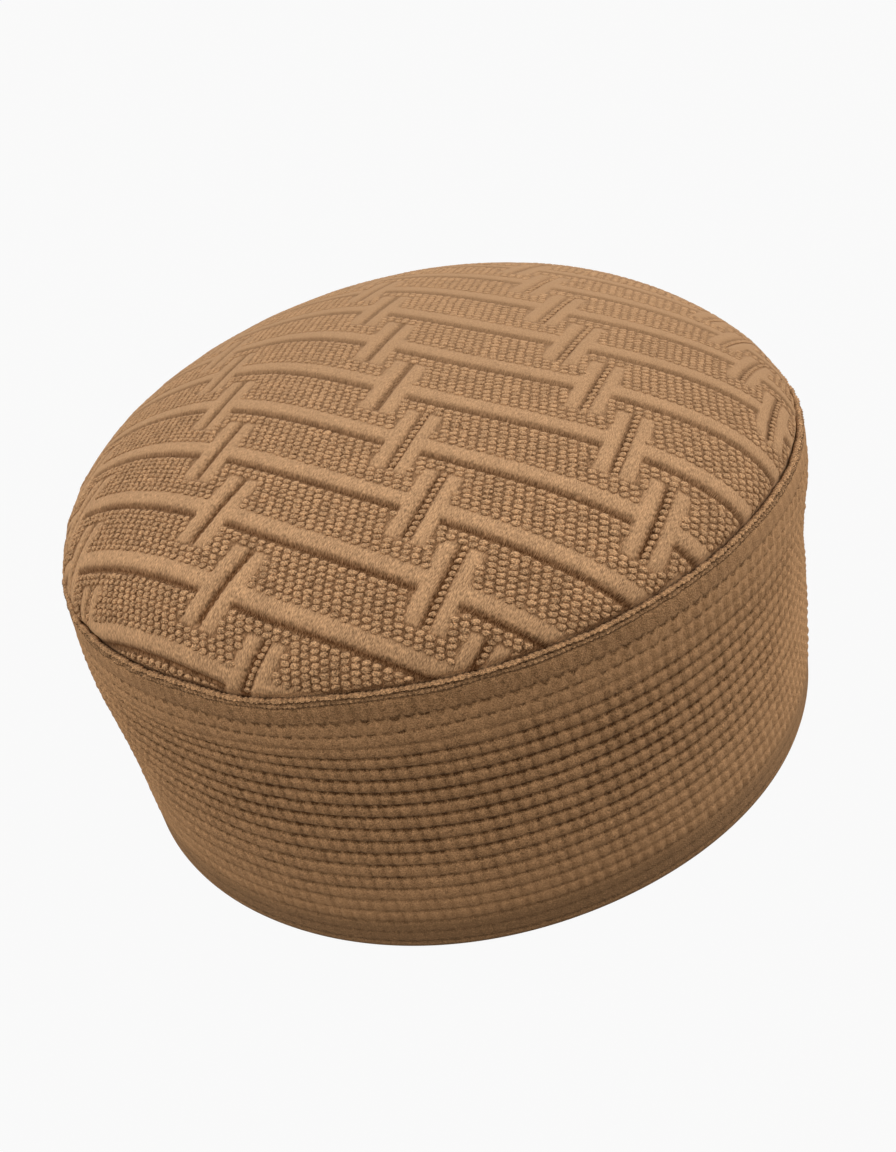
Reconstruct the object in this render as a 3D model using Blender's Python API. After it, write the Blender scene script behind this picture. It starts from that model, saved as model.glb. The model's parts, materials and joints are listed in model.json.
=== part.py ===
"""Knitted kufi cap: a round cap without a brim, made of a ribbed band, a linked lip and a domed crown.

Metres, +Z up. The cap stands on its rim, and the origin lies on that surface under its middle.
"""

import math
from collections import namedtuple

import bmesh
import bpy
import numpy as np
from mathutils import Vector
from mathutils.geometry import delaunay_2d_cdt

MM = 0.001
HALF = 0.5
FULL_TURN = 2.0 * math.pi

# Whole cap
CAP_RADIUS = 92.5 * MM         # outside of the band
SEAM_HEIGHT = 75.2 * MM        # top of the lip, where the crown comes out of the band
LEAN = 1.7 * MM                # how far the seam stands to +X of the rim
SEAT_GAP = 0.3 * MM            # air between pieces that touch
ROUND_STEPS = 60               # facets round the cap

# Band: a knitted tube with round ribs that lie one above the other
BAND_WALL = 3.0 * MM
EDGE_ROUND = 1.2 * MM          # rounding of the band's lower edge
HEM_HEIGHT = 11.0 * MM         # plain turned hem
STRIP_HEIGHT = 6.8 * MM        # smooth strip between the top rib and the lip
LIP_GROOVE_HEIGHT = 0.9 * MM   # stitched groove just under the lip
LIP_GROOVE_DEPTH = 0.5 * MM
RIB_PITCH = 3.45 * MM
RIB_DEPTH = 0.7 * MM           # deepest groove between ribs, half way up
RIB_DEPTH_LEAST = 0.35         # share of that depth left at the hem and at the strip

# Lip: the linked edge that stands on the band, round the crown
LIP_HEIGHT = 1.7 * MM
LIP_WIDTH = 1.3 * MM
LIP_PROUD = 0.1 * MM           # how far it stands out past the band
LIP_ROUND = 0.45 * MM

# Crown: a knitted disc, domed, its foot inside the lip
CROWN_WALL = 2.5 * MM
CROWN_RISE = 33.2 * MM         # height of the dome over the lip
DOME_POWER = 2.07              # exponent on the radius: higher keeps the middle flatter
DOME_ROOT = 1.68               # root taken of the rest: higher makes the shoulder squarer
PATTERN_FOLLOW = 0.31          # 0: the pattern keeps its spacing seen from above, 1: along the slope
INNER_RINGS = (0.97, 0.90, 0.78, 0.60, 0.35)    # rings of the dome's inside, shares of its radius

# Rings of extra points on the crown: share of the disc's radius, share of the facets round the cap
SHOULDER_RINGS = (
    (0.965, 1.0),
    (0.90, 0.8),
    (0.81, 0.6),
)

# Raised bars on the crown: long rails, and pairs of short posts across them
RAIL_ANGLE = math.radians(-37.9)   # the way that the rails run, seen from above
RAIL_SPACING = 14.45 * MM
RAIL_WIDTH = 3.6 * MM
RAIL_START = -5.85 * MM        # distance of the middle rail from the crown's middle, across the rails
PAIR_SPACING = 53.1 * MM       # from one pair of posts to the next along a rail
PAIR_STEP = -11.17 * MM        # how far the pairs move along from one rail to the next
PAIR_START = 2.95 * MM         # place of the middle pair along the middle rail
POST_WIDTH = 3.4 * MM
POST_REACH = 8.8 * MM          # length of a post to each side of its rail
POST_END = 1.0 * MM            # slope at a post's end
GROOVE_WIDTH = 2.0 * MM        # between the two posts of a pair
BAR_PROUD = 1.0 * MM
RIM_FADE = 3.0 * MM            # the bars are pressed flat over this stretch before the seam
RAIL_POINTS = 4                # points along a rail from one pair to the next
DOME_SAMPLES = 400             # steps in the table of lengths along the dome
MERGE_MM = 0.02                # points of the crown's pattern nearer than this are one

# Posts near the front of the crown lean over, as the cloth is dragged down to the seam there
POST_SLANT = 0.4               # most that a post leans, sideways for each unit of its length
SLANT_START = 0.49             # where that begins, in front of the crown's middle: share of CAP_RADIUS
SLANT_STRETCH = 0.38           # over how much of CAP_RADIUS it grows to its most
SLANT_SKEW = 0.3               # how much sooner it begins to the left

# The cloth is pulled out of square where it is stretched over the form. Each place is in shares of
# CAP_RADIUS from the crown's middle, along and across the rails, and each pull in shares of RAIL_SPACING.
Pull = namedtuple("Pull", "along across pull_along pull_across")
PULLS = (
    Pull(-0.65, -0.43, -0.03, 0.33),
    Pull(-0.65, -0.05, 0.15, -0.30),
    Pull(-0.65, 0.32, 0.06, -0.08),
    Pull(-0.22, -0.81, -0.39, 0.03),
    Pull(-0.22, -0.43, 0.12, 0.01),
    Pull(-0.22, -0.05, -0.10, 0.36),
    Pull(-0.22, 0.32, -0.12, 0.30),
    Pull(0.22, -0.81, -0.10, -0.15),
    Pull(0.22, -0.43, 0.19, -0.08),
    Pull(0.22, -0.05, -0.07, -0.20),
    Pull(0.22, 0.32, 0.01, -0.07),
    Pull(0.65, -0.43, 0.11, 0.01),
    Pull(0.65, -0.05, -0.01, 0.06),
    Pull(0.65, 0.32, 0.06, 0.12),
)
PULL_REACH = 0.43              # how far a pull is felt, as a share of CAP_RADIUS
PULL_ROUNDS = 5                # rounds in which a place before the pulls is found

# Colours of the yarn, linear, and how rough it is
CROWN_COLOUR = (0.45, 0.262, 0.137, 1.0)
BAND_COLOUR = (0.40, 0.235, 0.124, 1.0)
LIP_COLOUR = (0.43, 0.25, 0.13, 1.0)
YARN_ROUGHNESS = 0.92
SMOOTH_ANGLE = math.radians(50.0)

# Sizes that follow from those above
BAND_TOP = SEAM_HEIGHT - LIP_HEIGHT - SEAT_GAP
BAND_INSIDE = CAP_RADIUS - BAND_WALL
LIP_OUTSIDE = CAP_RADIUS + LIP_PROUD
LIP_INSIDE = LIP_OUTSIDE - LIP_WIDTH
CROWN_RADIUS = LIP_INSIDE * math.cos(math.pi / ROUND_STEPS) - SEAT_GAP
CROWN_FOOT = BAND_TOP + SEAT_GAP
PAIR_HALF = GROOVE_WIDTH * HALF + POST_WIDTH
CREST_OFFSET = (GROOVE_WIDTH + POST_WIDTH) * HALF


def clear_scene():
    for old in list(bpy.data.objects):
        bpy.data.objects.remove(old, do_unlink=True)


def yarn_material(name, colour):
    """Matt wool in one colour."""
    material = bpy.data.materials.new(name)
    material.use_nodes = True
    shader = material.node_tree.nodes["Principled BSDF"]
    shader.inputs["Base Color"].default_value = colour
    shader.inputs["Roughness"].default_value = YARN_ROUGHNESS
    shader.inputs["Metallic"].default_value = 0.0
    return material


def lean_over(mesh):
    """Shift each point of a piece sideways with its height, up to the seam."""
    for point in mesh.verts:
        share = min(point.co.z, SEAM_HEIGHT) / SEAM_HEIGHT
        point.co.x += LEAN * (share - HALF)


def finish_piece(mesh, name, material):
    """Turn a closed bmesh into a named object with smooth faces."""
    lean_over(mesh)
    bmesh.ops.recalc_face_normals(mesh, faces=mesh.faces)
    data = bpy.data.meshes.new(name)
    mesh.to_mesh(data)
    mesh.free()
    data.shade_smooth()
    data.set_sharp_from_angle(angle=SMOOTH_ANGLE)
    data.materials.append(material)
    piece = bpy.data.objects.new(name, data)
    bpy.context.scene.collection.objects.link(piece)
    return piece


def turn_outline(outline):
    """Spin a closed outline of (radius, height) points once round the cap's axis."""
    mesh = bmesh.new()
    points = [mesh.verts.new((radius, 0.0, height)) for radius, height in outline]
    edges = []
    for here, after in zip(points, points[1:] + points[:1]):
        edges.append(mesh.edges.new((here, after)))
    bmesh.ops.spin(
        mesh,
        geom=points + edges,
        cent=(0.0, 0.0, 0.0),
        axis=(0.0, 0.0, 1.0),
        angle=FULL_TURN,
        steps=ROUND_STEPS,
        use_merge=True,
        use_duplicate=False,
    )
    return mesh


def groove_depth(share):
    """Depth of the groove between two ribs, for its place from 0 at the hem to 1 at the strip."""
    swell = math.sin(math.pi * share)
    return RIB_DEPTH * (RIB_DEPTH_LEAST + (1.0 - RIB_DEPTH_LEAST) * swell)


def rib_outline():
    """Outer outline of the ribs, from the hem up to the smooth strip."""
    room = BAND_TOP - LIP_GROOVE_HEIGHT - STRIP_HEIGHT - HEM_HEIGHT
    count = max(1, round(room / RIB_PITCH))
    pitch = room / count
    outline = []
    for rib in range(count):
        foot = HEM_HEIGHT + rib * pitch
        outline.append((CAP_RADIUS - groove_depth(rib / count), foot))
        outline.append((CAP_RADIUS, foot + pitch * HALF))
    outline.append((CAP_RADIUS - groove_depth(1.0), HEM_HEIGHT + room))
    return outline


def band_outline():
    """Closed outline of the band's wall: up its outside, over its top and down its inside."""
    hem_shoulder = HEM_HEIGHT - RIB_PITCH * HALF
    strip_foot = BAND_TOP - LIP_GROOVE_HEIGHT - STRIP_HEIGHT + RIB_PITCH * HALF
    hem = [
        (CAP_RADIUS - EDGE_ROUND, 0.0),
        (CAP_RADIUS, EDGE_ROUND),
        (CAP_RADIUS, hem_shoulder),
    ]
    strip = [
        (CAP_RADIUS, strip_foot),
        (CAP_RADIUS, BAND_TOP - LIP_GROOVE_HEIGHT),
        (CAP_RADIUS - LIP_GROOVE_DEPTH, BAND_TOP - LIP_GROOVE_HEIGHT * HALF),
        (CAP_RADIUS - LIP_GROOVE_DEPTH * HALF, BAND_TOP),
    ]
    inside = [
        (BAND_INSIDE, BAND_TOP),
        (BAND_INSIDE, 0.0),
    ]
    return hem + rib_outline() + strip + inside


def make_band():
    material = yarn_material("band_yarn", BAND_COLOUR)
    return finish_piece(turn_outline(band_outline()), "band", material)


def make_lip():
    """The linked edge: a narrow rounded ring on the band's top."""
    foot = BAND_TOP + SEAT_GAP
    top = foot + LIP_HEIGHT
    outline = [
        (LIP_INSIDE, foot),
        (LIP_OUTSIDE - LIP_ROUND, foot),
        (LIP_OUTSIDE, foot + LIP_ROUND),
        (LIP_OUTSIDE, top - LIP_ROUND),
        (LIP_OUTSIDE - LIP_ROUND, top),
        (LIP_INSIDE, top),
    ]
    material = yarn_material("lip_yarn", LIP_COLOUR)
    return finish_piece(turn_outline(outline), "seam_lip", material)


def dome_height(share, rise):
    """Height of the dome at a share of its radius."""
    return rise * (1.0 - share ** DOME_POWER) ** (1.0 / DOME_ROOT)


def dome_tables():
    """Radii seen from above, and the radius that the flat pattern has there."""
    steps = np.linspace(0.0, 1.0, DOME_SAMPLES)
    shares = 1.0 - (1.0 - steps) ** 2
    radii = shares * CROWN_RADIUS
    heights = np.array([dome_height(share, CROWN_RISE) for share in shares])
    runs = np.hypot(np.diff(radii), np.diff(heights))
    lengths = np.concatenate(([0.0], np.cumsum(runs)))
    pattern = (1.0 - PATTERN_FOLLOW) * radii + PATTERN_FOLLOW * lengths
    return radii, pattern


def dome_point(flat, relief, tables):
    """Place of a point of the flat pattern on the dome, raised by its relief along the normal."""
    radii, pattern = tables
    flat_radius = flat.length
    radius = float(np.interp(flat_radius, pattern, radii))
    share = min(radius / CROWN_RADIUS, 1.0)
    nudge = CROWN_RADIUS / DOME_SAMPLES
    nearer = max(radius - nudge, 0.0)
    fall = dome_height(nearer / CROWN_RADIUS, CROWN_RISE) - dome_height(share, CROWN_RISE)
    outward = Vector((fall, max(radius - nearer, MM / DOME_SAMPLES))).normalized()
    way = flat.normalized() if flat_radius > 0.0 else Vector((0.0, 0.0))
    level = radius + outward.x * relief
    height = SEAM_HEIGHT + dome_height(share, CROWN_RISE) + outward.y * relief
    return Vector((way.x * level, way.y * level, height))


def pull_at(place):
    """How far the cloth is moved at a place of the square pattern."""
    moved = Vector((0.0, 0.0))
    for pull in PULLS:
        middle = Vector((pull.along, pull.across)) * CAP_RADIUS
        distance = (place - middle).length / (PULL_REACH * CAP_RADIUS)
        share = math.exp(-distance * distance) * RAIL_SPACING
        moved += Vector((pull.pull_along, pull.pull_across)) * share
    return moved


def before_pull(flat):
    """The place of the square pattern that the pulls have moved to this one."""
    place = flat.copy()
    for _ in range(PULL_ROUNDS):
        place = flat - pull_at(place)
    return place


def post_slant(along, across):
    """How far a post leans, sideways for each unit of its length."""
    forward = (-across - SLANT_SKEW * along) / CAP_RADIUS
    share = min(1.0, max(0.0, (forward - SLANT_START) / SLANT_STRETCH))
    return POST_SLANT * share * share * (3.0 - 2.0 * share)


def slope_to_zero(distance, width):
    """1 on a bar's crest, falling evenly to 0 at a distance of width."""
    return max(0.0, 1.0 - distance / width)


def pair_relief(along, across):
    """Share of full relief on a pair of posts, from the pair's middle."""
    if abs(across) >= POST_REACH or abs(along) >= PAIR_HALF:
        return 0.0
    side = abs(along) - CREST_OFFSET
    width = POST_WIDTH * HALF if side > 0.0 else CREST_OFFSET
    end = min(1.0, (POST_REACH - abs(across)) / POST_END)
    return slope_to_zero(abs(side), width) * end


def pair_middle(along, row):
    """Place along the rail of that row of the nearest pair of posts."""
    first = PAIR_START + row * PAIR_STEP
    column = round((along - first) / PAIR_SPACING)
    return first + column * PAIR_SPACING


def bar_relief(along, across):
    """Relief of the bars at a place of the square pattern, along and across the rails."""
    nearest = round((across - RAIL_START) / RAIL_SPACING)
    highest = 0.0
    for row in (nearest - 1, nearest, nearest + 1):
        rail_across = RAIL_START + row * RAIL_SPACING
        offset = across - rail_across
        middle = pair_middle(along, row)
        from_pair = along - middle - post_slant(middle, rail_across) * offset
        between_posts = abs(from_pair) < CREST_OFFSET and abs(offset) < POST_REACH
        rail = 0.0 if between_posts else slope_to_zero(abs(offset), RAIL_WIDTH * HALF)
        highest = max(highest, rail, pair_relief(from_pair, offset))
    return highest * BAR_PROUD


def clip_to_disc(start, end, radius):
    """The part of a straight line that lies in the disc, or None."""
    run = end - start
    a = run.dot(run)
    b = 2.0 * start.dot(run)
    c = start.dot(start) - radius * radius
    root = b * b - 4.0 * a * c
    if a == 0.0 or root <= 0.0:
        return None
    low = max(0.0, (-b - math.sqrt(root)) / (2.0 * a))
    high = min(1.0, (-b + math.sqrt(root)) / (2.0 * a))
    if high <= low:
        return None
    return start + run * low, start + run * high


def rail_lines(row, radius):
    """Both feet and the crest of one rail, broken into short runs so that they bend with the dome."""
    lines = []
    across = RAIL_START + row * RAIL_SPACING
    step = PAIR_SPACING / RAIL_POINTS
    first = PAIR_START + row * PAIR_STEP + step * HALF
    low = math.floor((-radius - first) / step)
    high = math.ceil((radius - first) / step)
    for side in (-RAIL_WIDTH * HALF, 0.0, RAIL_WIDTH * HALF):
        for number in range(low, high):
            start = Vector((first + number * step, across + side))
            end = Vector((first + (number + 1) * step, across + side))
            lines.append((start, end))
    return lines


def pair_lines(along, across):
    """Feet, crests, groove and ends of one pair of posts."""
    slant = post_slant(along, across)

    def corner(side, end):
        return Vector((along + side + slant * end, across + end))

    lines = []
    for side in (-PAIR_HALF, 0.0, PAIR_HALF):
        lines.append((corner(side, -POST_REACH), corner(side, POST_REACH)))
    crest_reach = POST_REACH - POST_END
    for side in (-CREST_OFFSET, CREST_OFFSET):
        lines.append((corner(side, -crest_reach), corner(side, crest_reach)))
    for end in (-POST_REACH, POST_REACH):
        lines.append((corner(-PAIR_HALF, end), corner(0.0, end)))
        lines.append((corner(0.0, end), corner(PAIR_HALF, end)))
    return lines


def pattern_lines(radius):
    """Every fold line of the bars that lies in the disc."""
    reach = radius + POST_REACH
    lowest = math.floor((-reach - RAIL_START) / RAIL_SPACING)
    highest = math.ceil((reach - RAIL_START) / RAIL_SPACING)
    lines = []
    for row in range(lowest, highest + 1):
        lines += rail_lines(row, radius)
        first = PAIR_START + row * PAIR_STEP
        low = math.floor((-reach - first) / PAIR_SPACING)
        high = math.ceil((reach - first) / PAIR_SPACING)
        for column in range(low, high + 1):
            lines += pair_lines(first + column * PAIR_SPACING, RAIL_START + row * RAIL_SPACING)
    pulled = [(start + pull_at(start), end + pull_at(end)) for start, end in lines]
    clipped = [clip_to_disc(start, end, radius) for start, end in pulled]
    return [line for line in clipped if line]


def ring_points(radius, count):
    """Points on a circle, in the pattern's own axes."""
    turns = [FULL_TURN * number / count - RAIL_ANGLE for number in range(count)]
    return [Vector((radius * math.cos(turn), radius * math.sin(turn))) for turn in turns]


def pattern_triangles(disc_radius):
    """Triangles of the flat crown, with every fold line of its bars as an edge."""
    points = ring_points(disc_radius, ROUND_STEPS)
    edges = [(number, (number + 1) % ROUND_STEPS) for number in range(ROUND_STEPS)]
    for share, part in SHOULDER_RINGS:
        points += ring_points(disc_radius * share, round(ROUND_STEPS * part))
    for start, end in pattern_lines(disc_radius - RIM_FADE):
        edges.append((len(points), len(points) + 1))
        points += [start, end]
    in_mm = [point / MM for point in points]
    found = delaunay_2d_cdt(in_mm, edges, [], 0, MERGE_MM, False)
    return [point * MM for point in found[0]], found[2]


def outer_skin(mesh):
    """The crown's outer face, with its raised bars."""
    tables = dome_tables()
    disc_radius = float(tables[1][-1])
    flat_points, triangles = pattern_triangles(disc_radius)
    turn = Vector((math.cos(RAIL_ANGLE), math.sin(RAIL_ANGLE)))
    corners = []
    for flat in flat_points:
        fade = min(1.0, max(0.0, (disc_radius - flat.length) / RIM_FADE))
        square = before_pull(flat)
        relief = bar_relief(square.x, square.y) * fade
        placed = Vector((flat.x * turn.x - flat.y * turn.y, flat.x * turn.y + flat.y * turn.x))
        corners.append(mesh.verts.new(dome_point(placed, relief, tables)))
    for triangle in triangles:
        mesh.faces.new([corners[number] for number in triangle])


def next_ring(mesh, edges, radius, height):
    """Extrude a ring of edges, and set the new ring's radius and height."""
    extruded = bmesh.ops.extrude_edge_only(mesh, edges=edges)["geom"]
    for point in extruded:
        if isinstance(point, bmesh.types.BMVert):
            way = Vector((point.co.x, point.co.y)).normalized()
            point.co = Vector((way.x * radius, way.y * radius, height))
    return [edge for edge in extruded if isinstance(edge, bmesh.types.BMEdge)]


def make_crown():
    """The domed shell: its outer skin, its foot on the band and its plain inside."""
    mesh = bmesh.new()
    outer_skin(mesh)
    rim = [edge for edge in mesh.edges if edge.is_boundary]
    inside = CROWN_RADIUS - CROWN_WALL
    rise = CROWN_RISE - CROWN_WALL
    rim = next_ring(mesh, rim, CROWN_RADIUS, CROWN_FOOT)
    rim = next_ring(mesh, rim, inside, CROWN_FOOT)
    rim = next_ring(mesh, rim, inside, SEAM_HEIGHT)
    for share in INNER_RINGS:
        rim = next_ring(mesh, rim, inside * share, SEAM_HEIGHT + dome_height(share, rise))
    middle = Vector((0.0, 0.0, SEAM_HEIGHT + rise))
    closed = bmesh.ops.edgeloop_fill(mesh, edges=rim)["faces"]
    bmesh.ops.poke(mesh, faces=closed)
    pole = min(mesh.verts, key=lambda point: (point.co - middle).length)
    pole.co = middle
    return finish_piece(mesh, "crown", yarn_material("crown_yarn", CROWN_COLOUR))


clear_scene()
make_band()
make_lip()
make_crown()
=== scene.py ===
import json
import math
from functools import partial

import bpy
import numpy as np
from mathutils import Matrix, Vector

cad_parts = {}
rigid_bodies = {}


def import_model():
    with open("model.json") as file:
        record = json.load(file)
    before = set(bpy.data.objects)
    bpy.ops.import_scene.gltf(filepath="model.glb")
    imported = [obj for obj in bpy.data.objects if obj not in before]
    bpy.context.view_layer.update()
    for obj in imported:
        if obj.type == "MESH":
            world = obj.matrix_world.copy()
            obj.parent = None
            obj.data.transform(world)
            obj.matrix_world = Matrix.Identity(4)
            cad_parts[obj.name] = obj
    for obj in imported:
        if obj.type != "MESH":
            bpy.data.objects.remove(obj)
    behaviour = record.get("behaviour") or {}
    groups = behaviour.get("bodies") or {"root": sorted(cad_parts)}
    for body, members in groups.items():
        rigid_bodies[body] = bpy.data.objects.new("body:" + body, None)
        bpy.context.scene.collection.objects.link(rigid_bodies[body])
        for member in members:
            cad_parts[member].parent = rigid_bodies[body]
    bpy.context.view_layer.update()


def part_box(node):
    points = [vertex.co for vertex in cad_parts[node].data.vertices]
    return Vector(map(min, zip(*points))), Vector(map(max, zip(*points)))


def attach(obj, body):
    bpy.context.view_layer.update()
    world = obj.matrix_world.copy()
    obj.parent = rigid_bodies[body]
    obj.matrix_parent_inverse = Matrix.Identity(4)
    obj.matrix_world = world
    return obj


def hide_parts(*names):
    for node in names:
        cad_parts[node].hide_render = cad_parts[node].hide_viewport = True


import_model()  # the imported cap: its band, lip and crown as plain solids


# BAND. The side wall is a tube of thick wool, knitted in rows of round ribs that lie one on another,
# with a plain turned hem at its foot and a smooth strip at its top. The wool is felted, so that its
# stitches show only as faint staggered swellings and as rows of small notches under the strip.
MM = 0.001
FULL_TURN = 2.0 * math.pi
band_low, band_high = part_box("band")
BAND_RADIUS = 0.5 * (band_high.y - band_low.y)
BAND_TOP = band_high.z
SEAM_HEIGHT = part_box("seam_lip")[1].z
SEAM_SHIFT = 0.85 * MM  # the seam stands this far to +X of the middle, and the rim as far to -X
BAND_WALL = 3.0 * MM
EDGE_ROUND = 1.2 * MM
EDGE_TURNS = (0.0, 30.0, 60.0)  # rows of points round the lower edge, in degrees
HEM_HEIGHT = 8.8 * MM
HEM_LINE = 2.2 * MM  # height of a faint line round the hem
HEM_LINE_HALF = 0.4 * MM  # half its width
HEM_LINE_DEPTH = 0.15 * MM
HEM_LINE_DARK = 0.3
HEM_SHARES = (0.42, 0.62, 0.82, 0.95)  # rows of points up the hem over that line
HEM_FOLD = 0.5 * MM  # how much thicker the turned hem is inside
HEM_SHADE = -0.33  # painted shade: the hem is darker than the ribs
HEM_SHADE_ENDS = (0.8, 1.3)  # where that painted shade ends, in heights of the hem
BAND_FRONT_SHADE = -0.08  # painted shade: the wool is darker at the front
BAND_SIDE_LIGHT = 0.07  # and painted light: lighter at the sides
BAND_SHADE_SPAN = (0.02, 0.3)  # where that changes: 0 at the front, 1 at the back
RIBS = 17
LOWEST_RIB = 3.19 * MM  # height of the lowest rib
RIB_GROWTH = 0.036 * MM  # how much taller each rib is than the one below
RIB_DEPTH = 0.64 * MM
RIB_DEPTH_LEAST = 0.3  # share of that depth at the hem
RIB_SQUARE = 2.7  # higher makes a rib flatter, with narrower grooves
RIB_PHASES = (0.0, 0.12, 0.3, 0.5, 0.7, 0.88)  # rows of points up each rib
TOP_GROOVE_SHARE = 0.35  # the highest grooves are faint, with rows of notches
FAINT_GROOVES = 3
STRIP_SHARES = (0.12, 0.3, 0.5, 0.7, 0.88)  # rows of points up the strip
STRIP_SWELL = 0.2 * MM  # how far the strip swells out
TOP_TUCK = 0.35 * MM  # how far the top edge is drawn in, and how dark it is
TOP_TUCK_DARK = 0.4
INSIDE_SHARES = (1.0, 0.85, 0.65, 0.45, 0.3)  # rows of points down the inside
DEEPEST = 1.3  # higher brings the deepest groove further up the wall
STITCHES_ROUND = 188
STEPS_A_STITCH = 4
STITCH_LEAN = 0.13  # how far a column of stitches steps along at each rib
SWELLING = 0.32 * MM  # how far a stitch swells out of its rib
SWELLING_SPREAD = 0.4  # share by which one stitch differs from another
FELTING = 0.45  # share of it that felting takes at most
LEAST_FELTED = math.radians(-25.0)  # and where it takes none
SHADED_FRONT = math.radians(-95.0)  # where the painted shade in the grooves is darkest
KNIT_SHADE_LEAST = 0.35  # how dark the painted shade in the grooves is at the hem
KNIT_SHADE_TOP = 0.65  # and in the rows of notches
SIDE_SOFT = 0.35  # share of the darkness lost at the sides
SOFT_SPAN = (0.02, 0.35)  # where that grows, 0 at the front and 1 at the back
KNIT_SHADE_SPREAD = (0.6, 1.15)  # least and most by which a stitch changes its painted shade
RIB_WANDER = 0.22 * MM  # how far the ribs wander up and down
RIB_WAVES = (4, 18)  # fewest and most waves round the cap
RIB_WAVES_STEP = 0.02  # how far they step along from rib to rib, in radians
RIB_CLIMB = 4.9 * MM  # the ribs run higher at the left
CLIMB_WAY = math.radians(-160.0)
CLIMB_POWER = 4  # higher keeps the climb to a shorter stretch
CLIMB_FROM = (4.0 * MM, 40.0 * MM)  # heights between which the climb grows
CLIMB_TO = (50.0 * MM, 64.0 * MM)  # and those between which it ends
WALL_WANDER = 0.25 * MM  # how far the wall wanders in and out
WALL_WAVES = (2, 6)
BULGES = (  # where the soft wall swells out or is drawn in
    # degrees round, height, reach in degrees, reach up and how far out, in millimetres
    (-18.0, 66.0, 26.0, 16.0, 2.9),
    (-12.0, 30.0, 20.0, 20.0, 1.2),
    (-52.0, 2.0, 30.0, 26.0, 1.6),
    (-100.0, 2.0, 30.0, 26.0, 1.3),
    (-162.0, 58.0, 22.0, 22.0, 2.3),
    (25.0, 75.0, 28.0, 30.0, -3.4),
    (60.0, 75.0, 28.0, 30.0, -1.8),
    (120.0, 75.0, 40.0, 30.0, -1.6),
    (185.0, 75.0, 22.0, 22.0, -1.1),
)
DIP_DEPTH = 1.5 * MM  # the lip dips a little at the front left
DIP_WAY = -119.0  # in degrees, as its reach
DIP_REACH = 8.0
DIP_FROM = 60.0 * MM  # lowest height that the dip moves
FAR_WAY = (0.4, 0.92)  # the wool lies smoother this way, to the back and a little right
CALM = 0.88  # share of the fuzz's contrast lost there
CALM_SPAN = (-95.0 * MM, 35.0 * MM)  # where along that way it grows
HEM_CALM = 0.5  # and share lost at the hem
HEM_CALM_END = 3.0  # in heights of the hem
BAND_SEED = 4
BAND_CONTRAST = 1.7  # how much the fuzz lightens and darkens the wool
BAND_LIGHT = (0.398, 0.231, 0.117, 1.0)
BAND_DEEP = (0.095, 0.042, 0.014, 1.0)


deselect = partial(bpy.ops.object.select_all, action="DESELECT")
start_edit = partial(bpy.ops.object.mode_set, mode="EDIT")
end_edit = partial(bpy.ops.object.mode_set, mode="OBJECT")


def only(piece):
    """Make one object the only one selected, and the active one."""
    deselect()
    piece.select_set(True)
    bpy.context.view_layer.objects.active = piece


def points_of(piece):
    """An object's points as an array of rows x, y, z."""
    found = np.empty(len(piece.data.vertices) * 3)
    piece.data.vertices.foreach_get("co", found)
    return found.reshape(-1, 3)


def move_points(piece, points):
    """Give an object's points new places."""
    piece.data.vertices.foreach_set("co", np.ascontiguousarray(points, dtype=np.float32).ravel())
    piece.data.update()


def paint(piece, name, values):
    """Keep one number for each point of a piece, for its material to read."""
    layer = piece.data.attributes.new(name, "FLOAT", "POINT")
    layer.data.foreach_set("value", np.ascontiguousarray(values, dtype=np.float32))


def sheet_round(name, steps, rows):
    """A flat sheet to roll round the cap's axis, with the angle and row of each point."""
    deselect()
    bpy.ops.mesh.primitive_grid_add(x_subdivisions=steps, y_subdivisions=rows, size=2.0)
    sheet = bpy.context.object
    sheet.name = name
    points = points_of(sheet)
    return sheet, (points[:, 0] + 1.0) * math.pi, np.rint((points[:, 1] + 1.0) * 0.5 * rows).astype(int)


def close_up(piece):
    """Merge the edges that meet, and turn every face outwards."""
    only(piece)
    start_edit()
    bpy.ops.mesh.select_all(action="SELECT")
    bpy.ops.mesh.remove_doubles(threshold=0.01 * MM)
    bpy.ops.mesh.normals_make_consistent(inside=False)
    end_edit()
    piece.data.shade_smooth()


def cloth_map(piece, across, up):
    """A UV map of two measures of the cloth, given for each point."""
    layer = piece.data.uv_layers.new(name="cloth")
    corner_points = np.empty(len(piece.data.loops), dtype=np.int64)
    piece.data.loops.foreach_get("vertex_index", corner_points)
    both = np.stack([across[corner_points], up[corner_points]], axis=1)
    layer.data.foreach_set("uv", np.ascontiguousarray(both, dtype=np.float32).ravel())


def waves(angle, seed, least, most):
    """A gentle irregular swing from -1 to 1 round the cap, with that many waves."""
    draw = np.random.default_rng(seed)
    total = np.zeros_like(angle)
    counts = range(least, most + 1)
    for count in counts:
        total += np.sin(count * angle + draw.uniform(0.0, FULL_TURN)) / math.sqrt(len(counts))
    return total


def smooth_share(value, start, end):
    """A share that runs smoothly from 0 at start to 1 at end."""
    share = np.clip((value - start) / (end - start), 0.0, 1.0)
    return share * share * (3.0 - 2.0 * share)


def groove_height(number):
    """Height of a groove between ribs, counted from the hem."""
    return HEM_HEIGHT + LOWEST_RIB * number + 0.5 * RIB_GROWTH * number * (number - 1)


def groove_depth(number):
    """Depth of that groove: shallow at the hem, deepest past half way up, faint under the top strip."""
    share = number / RIBS
    depth = RIB_DEPTH * (RIB_DEPTH_LEAST + (1.0 - RIB_DEPTH_LEAST) * math.sin(math.pi * share ** DEEPEST))
    return depth if number <= RIBS - FAINT_GROOVES else TOP_GROOVE_SHARE * RIB_DEPTH


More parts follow.
